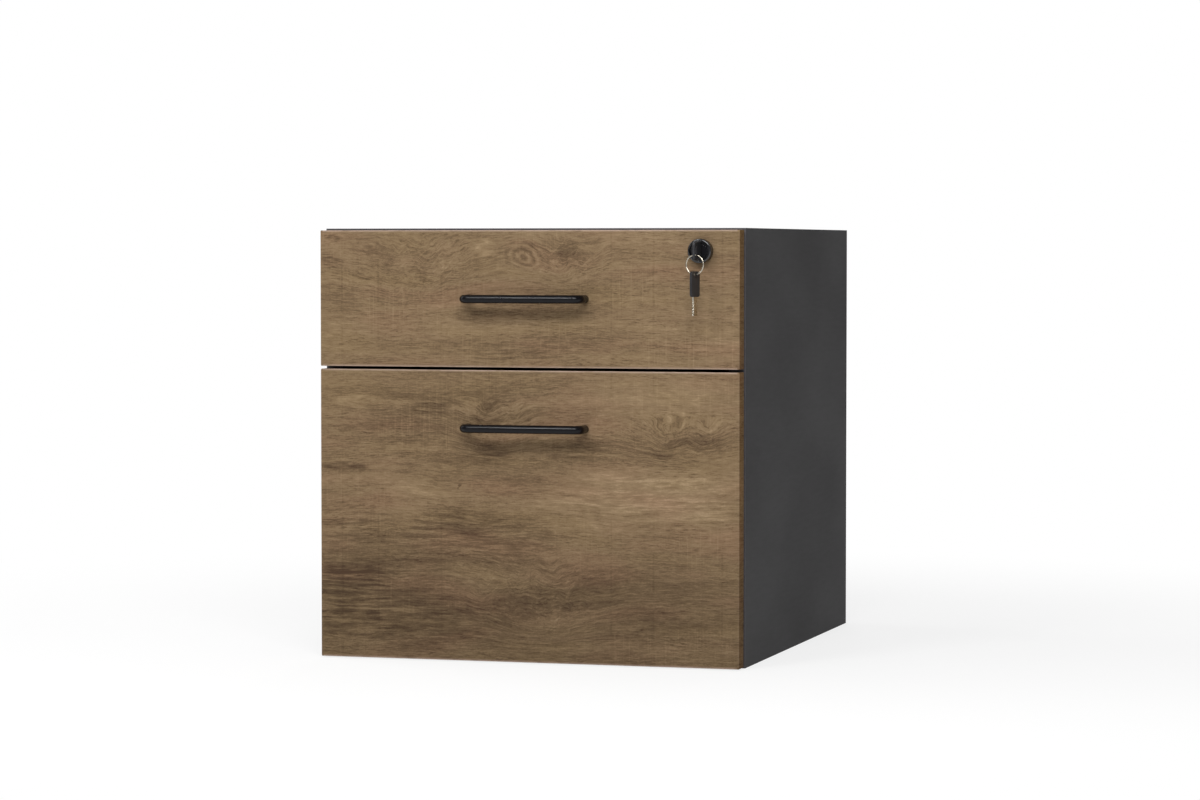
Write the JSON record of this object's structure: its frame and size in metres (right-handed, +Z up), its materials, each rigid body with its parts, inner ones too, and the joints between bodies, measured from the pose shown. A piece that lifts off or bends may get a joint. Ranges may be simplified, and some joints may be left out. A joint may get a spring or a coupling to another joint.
{
  "type": "desk pedestal",
  "caption": "Under-desk pedestal with a shallow drawer above a deep filing drawer, wood-look fronts, round bar handles, ball-bearing slides and a keyed lock for both drawers.",
  "frame": {"origin": "centre of the carcass's underside", "axes": "+X right seen from the front, -Y out of the drawer fronts, +Z up"},
  "size_m": [0.465, 0.5419, 0.46],
  "materials": {
    "charcoal_board": "matt charcoal melamine on chipboard",
    "charcoal_edging": "charcoal edging, a touch lighter than the board",
    "drawer_board": "matt dark grey melamine on chipboard",
    "oak_decor": "brown rough-sawn oak melamine, grain level, matt",
    "oak_edging": "brown oak edging with rounded arris",
    "beech": "plain beech",
    "zinc_steel": "bright zinc plate",
    "cage_steel": "plain thin steel with bright balls",
    "bar_aluminium": "plain aluminium",
    "bumper_rubber": "matt black",
    "black_handle": "satin black",
    "black_lock": "gloss black",
    "black_plastic": "satin black plastic",
    "key_steel": "bright nickel"
  },
  "bodies": {
    "carcass": {"side_panel_left": "charcoal_board", "side_panel_right": "charcoal_board", "top_panel": "charcoal_board", "bottom_panel": "charcoal_board", "back_panel": "charcoal_board", "carcass_edging": "charcoal_edging", "cam_fittings": "zinc_steel", "cam_bolts": "zinc_steel", "carcass_dowels": "beech", "slide_outers_left": "zinc_steel", "slide_outers_right": "zinc_steel", "slide_outer_screws": "zinc_steel", "bar_guides": "zinc_steel", "drawer_bumpers": "bumper_rubber"},
    "locking_bar": {"locking_bar": "bar_aluminium", "bar_driver_arm": "zinc_steel", "bar_studs": "zinc_steel"},
    "lock_plug": {"lock_plug": "black_lock", "lock_driver": "zinc_steel", "key_head": "black_plastic", "key_blade": "key_steel"},
    "key_ring": {"key_ring": "key_steel"},
    "spare_key": {"spare_key_head": "black_plastic", "spare_key_blade": "key_steel"},
    "upper_drawer": {"upper_front_board": "oak_decor", "upper_front_edging": "oak_edging", "upper_box_left": "drawer_board", "upper_box_right": "drawer_board", "upper_box_front": "drawer_board", "upper_box_back": "drawer_board", "upper_box_bottom": "drawer_board", "upper_box_dowels": "beech", "upper_slide_inners": "zinc_steel", "upper_handle": "black_handle", "upper_handle_screws": "zinc_steel", "upper_fixings": "zinc_steel", "upper_catch": "black_plastic", "lock_rosette": "black_lock", "lock_housing": "zinc_steel"},
    "upper_slide_middle": {"upper_slide_middles": "zinc_steel"},
    "upper_outer_cage": {"upper_outer_cages": "cage_steel"},
    "upper_inner_cage": {"upper_inner_cages": "cage_steel"},
    "lower_drawer": {"lower_front_board": "oak_decor", "lower_front_edging": "oak_edging", "lower_box_left": "drawer_board", "lower_box_right": "drawer_board", "lower_box_front": "drawer_board", "lower_box_back": "drawer_board", "lower_box_bottom": "drawer_board", "lower_box_dowels": "beech", "lower_slide_inners": "zinc_steel", "lower_handle": "black_handle", "lower_handle_screws": "zinc_steel", "lower_fixings": "zinc_steel", "lower_catch": "black_plastic", "file_rails": "zinc_steel"},
    "lower_slide_middle": {"lower_slide_middles": "zinc_steel"},
    "lower_outer_cage": {"lower_outer_cages": "cage_steel"},
    "lower_inner_cage": {"lower_inner_cages": "cage_steel"}
  },
  "joints": [
    {"name": "upper_drawer_slide", "type": "slide", "parent": "carcass", "child": "upper_drawer", "axis": [0, -1, 0], "range_m": [0, 0.39]},
    {"name": "upper_slide_middle_travel", "type": "slide", "parent": "carcass", "child": "upper_slide_middle", "axis": [0, -1, 0], "range_m": [0, 0.195]},
    {"name": "upper_outer_cage_travel", "type": "slide", "parent": "carcass", "child": "upper_outer_cage", "axis": [0, -1, 0], "range_m": [0, 0.0975]},
    {"name": "upper_inner_cage_travel", "type": "slide", "parent": "carcass", "child": "upper_inner_cage", "axis": [0, -1, 0], "range_m": [0, 0.2925]},
    {"name": "lower_drawer_slide", "type": "slide", "parent": "carcass", "child": "lower_drawer", "axis": [0, -1, 0], "range_m": [0, 0.39]},
    {"name": "lower_slide_middle_travel", "type": "slide", "parent": "carcass", "child": "lower_slide_middle", "axis": [0, -1, 0], "range_m": [0, 0.195]},
    {"name": "lower_outer_cage_travel", "type": "slide", "parent": "carcass", "child": "lower_outer_cage", "axis": [0, -1, 0], "range_m": [0, 0.0975]},
    {"name": "lower_inner_cage_travel", "type": "slide", "parent": "carcass", "child": "lower_inner_cage", "axis": [0, -1, 0], "range_m": [0, 0.2925]},
    {"name": "locking_bar_lift", "type": "slide", "parent": "carcass", "child": "locking_bar", "axis": [0, 0, 1], "range_m": [0, 0.007]},
    {"name": "key_turn", "type": "hinge", "parent": "upper_drawer", "child": "lock_plug", "pos_m": [0.1905, -0.263, 0.436], "axis": [0, -1, 0], "range_deg": [0, 90]},
    {"name": "ring_hang", "type": "hinge", "parent": "lock_plug", "child": "key_ring", "pos_m": [0.1905, -0.29035, 0.4285], "axis": [0, -1, 0], "range_deg": [-90, 0]},
    {"name": "spare_key_swing", "type": "hinge", "parent": "key_ring", "child": "spare_key", "pos_m": [0.1905, -0.29035, 0.41184], "axis": [0.9744, -0.225, 0], "range_deg": [-60, 22]}
  ],
  "couplings": [
    {"joint": "upper_slide_middle_travel", "follows": "upper_drawer_slide", "ratio": 0.5},
    {"joint": "upper_outer_cage_travel", "follows": "upper_drawer_slide", "ratio": 0.25},
    {"joint": "upper_inner_cage_travel", "follows": "upper_drawer_slide", "ratio": 0.75},
    {"joint": "lower_slide_middle_travel", "follows": "lower_drawer_slide", "ratio": 0.5},
    {"joint": "lower_outer_cage_travel", "follows": "lower_drawer_slide", "ratio": 0.25},
    {"joint": "lower_inner_cage_travel", "follows": "lower_drawer_slide", "ratio": 0.75},
    {"joint": "key_turn", "follows": "locking_bar_lift", "rad_per_m": 224.39},
    {"joint": "ring_hang", "follows": "locking_bar_lift", "rad_per_m": -224.39}
  ]
}
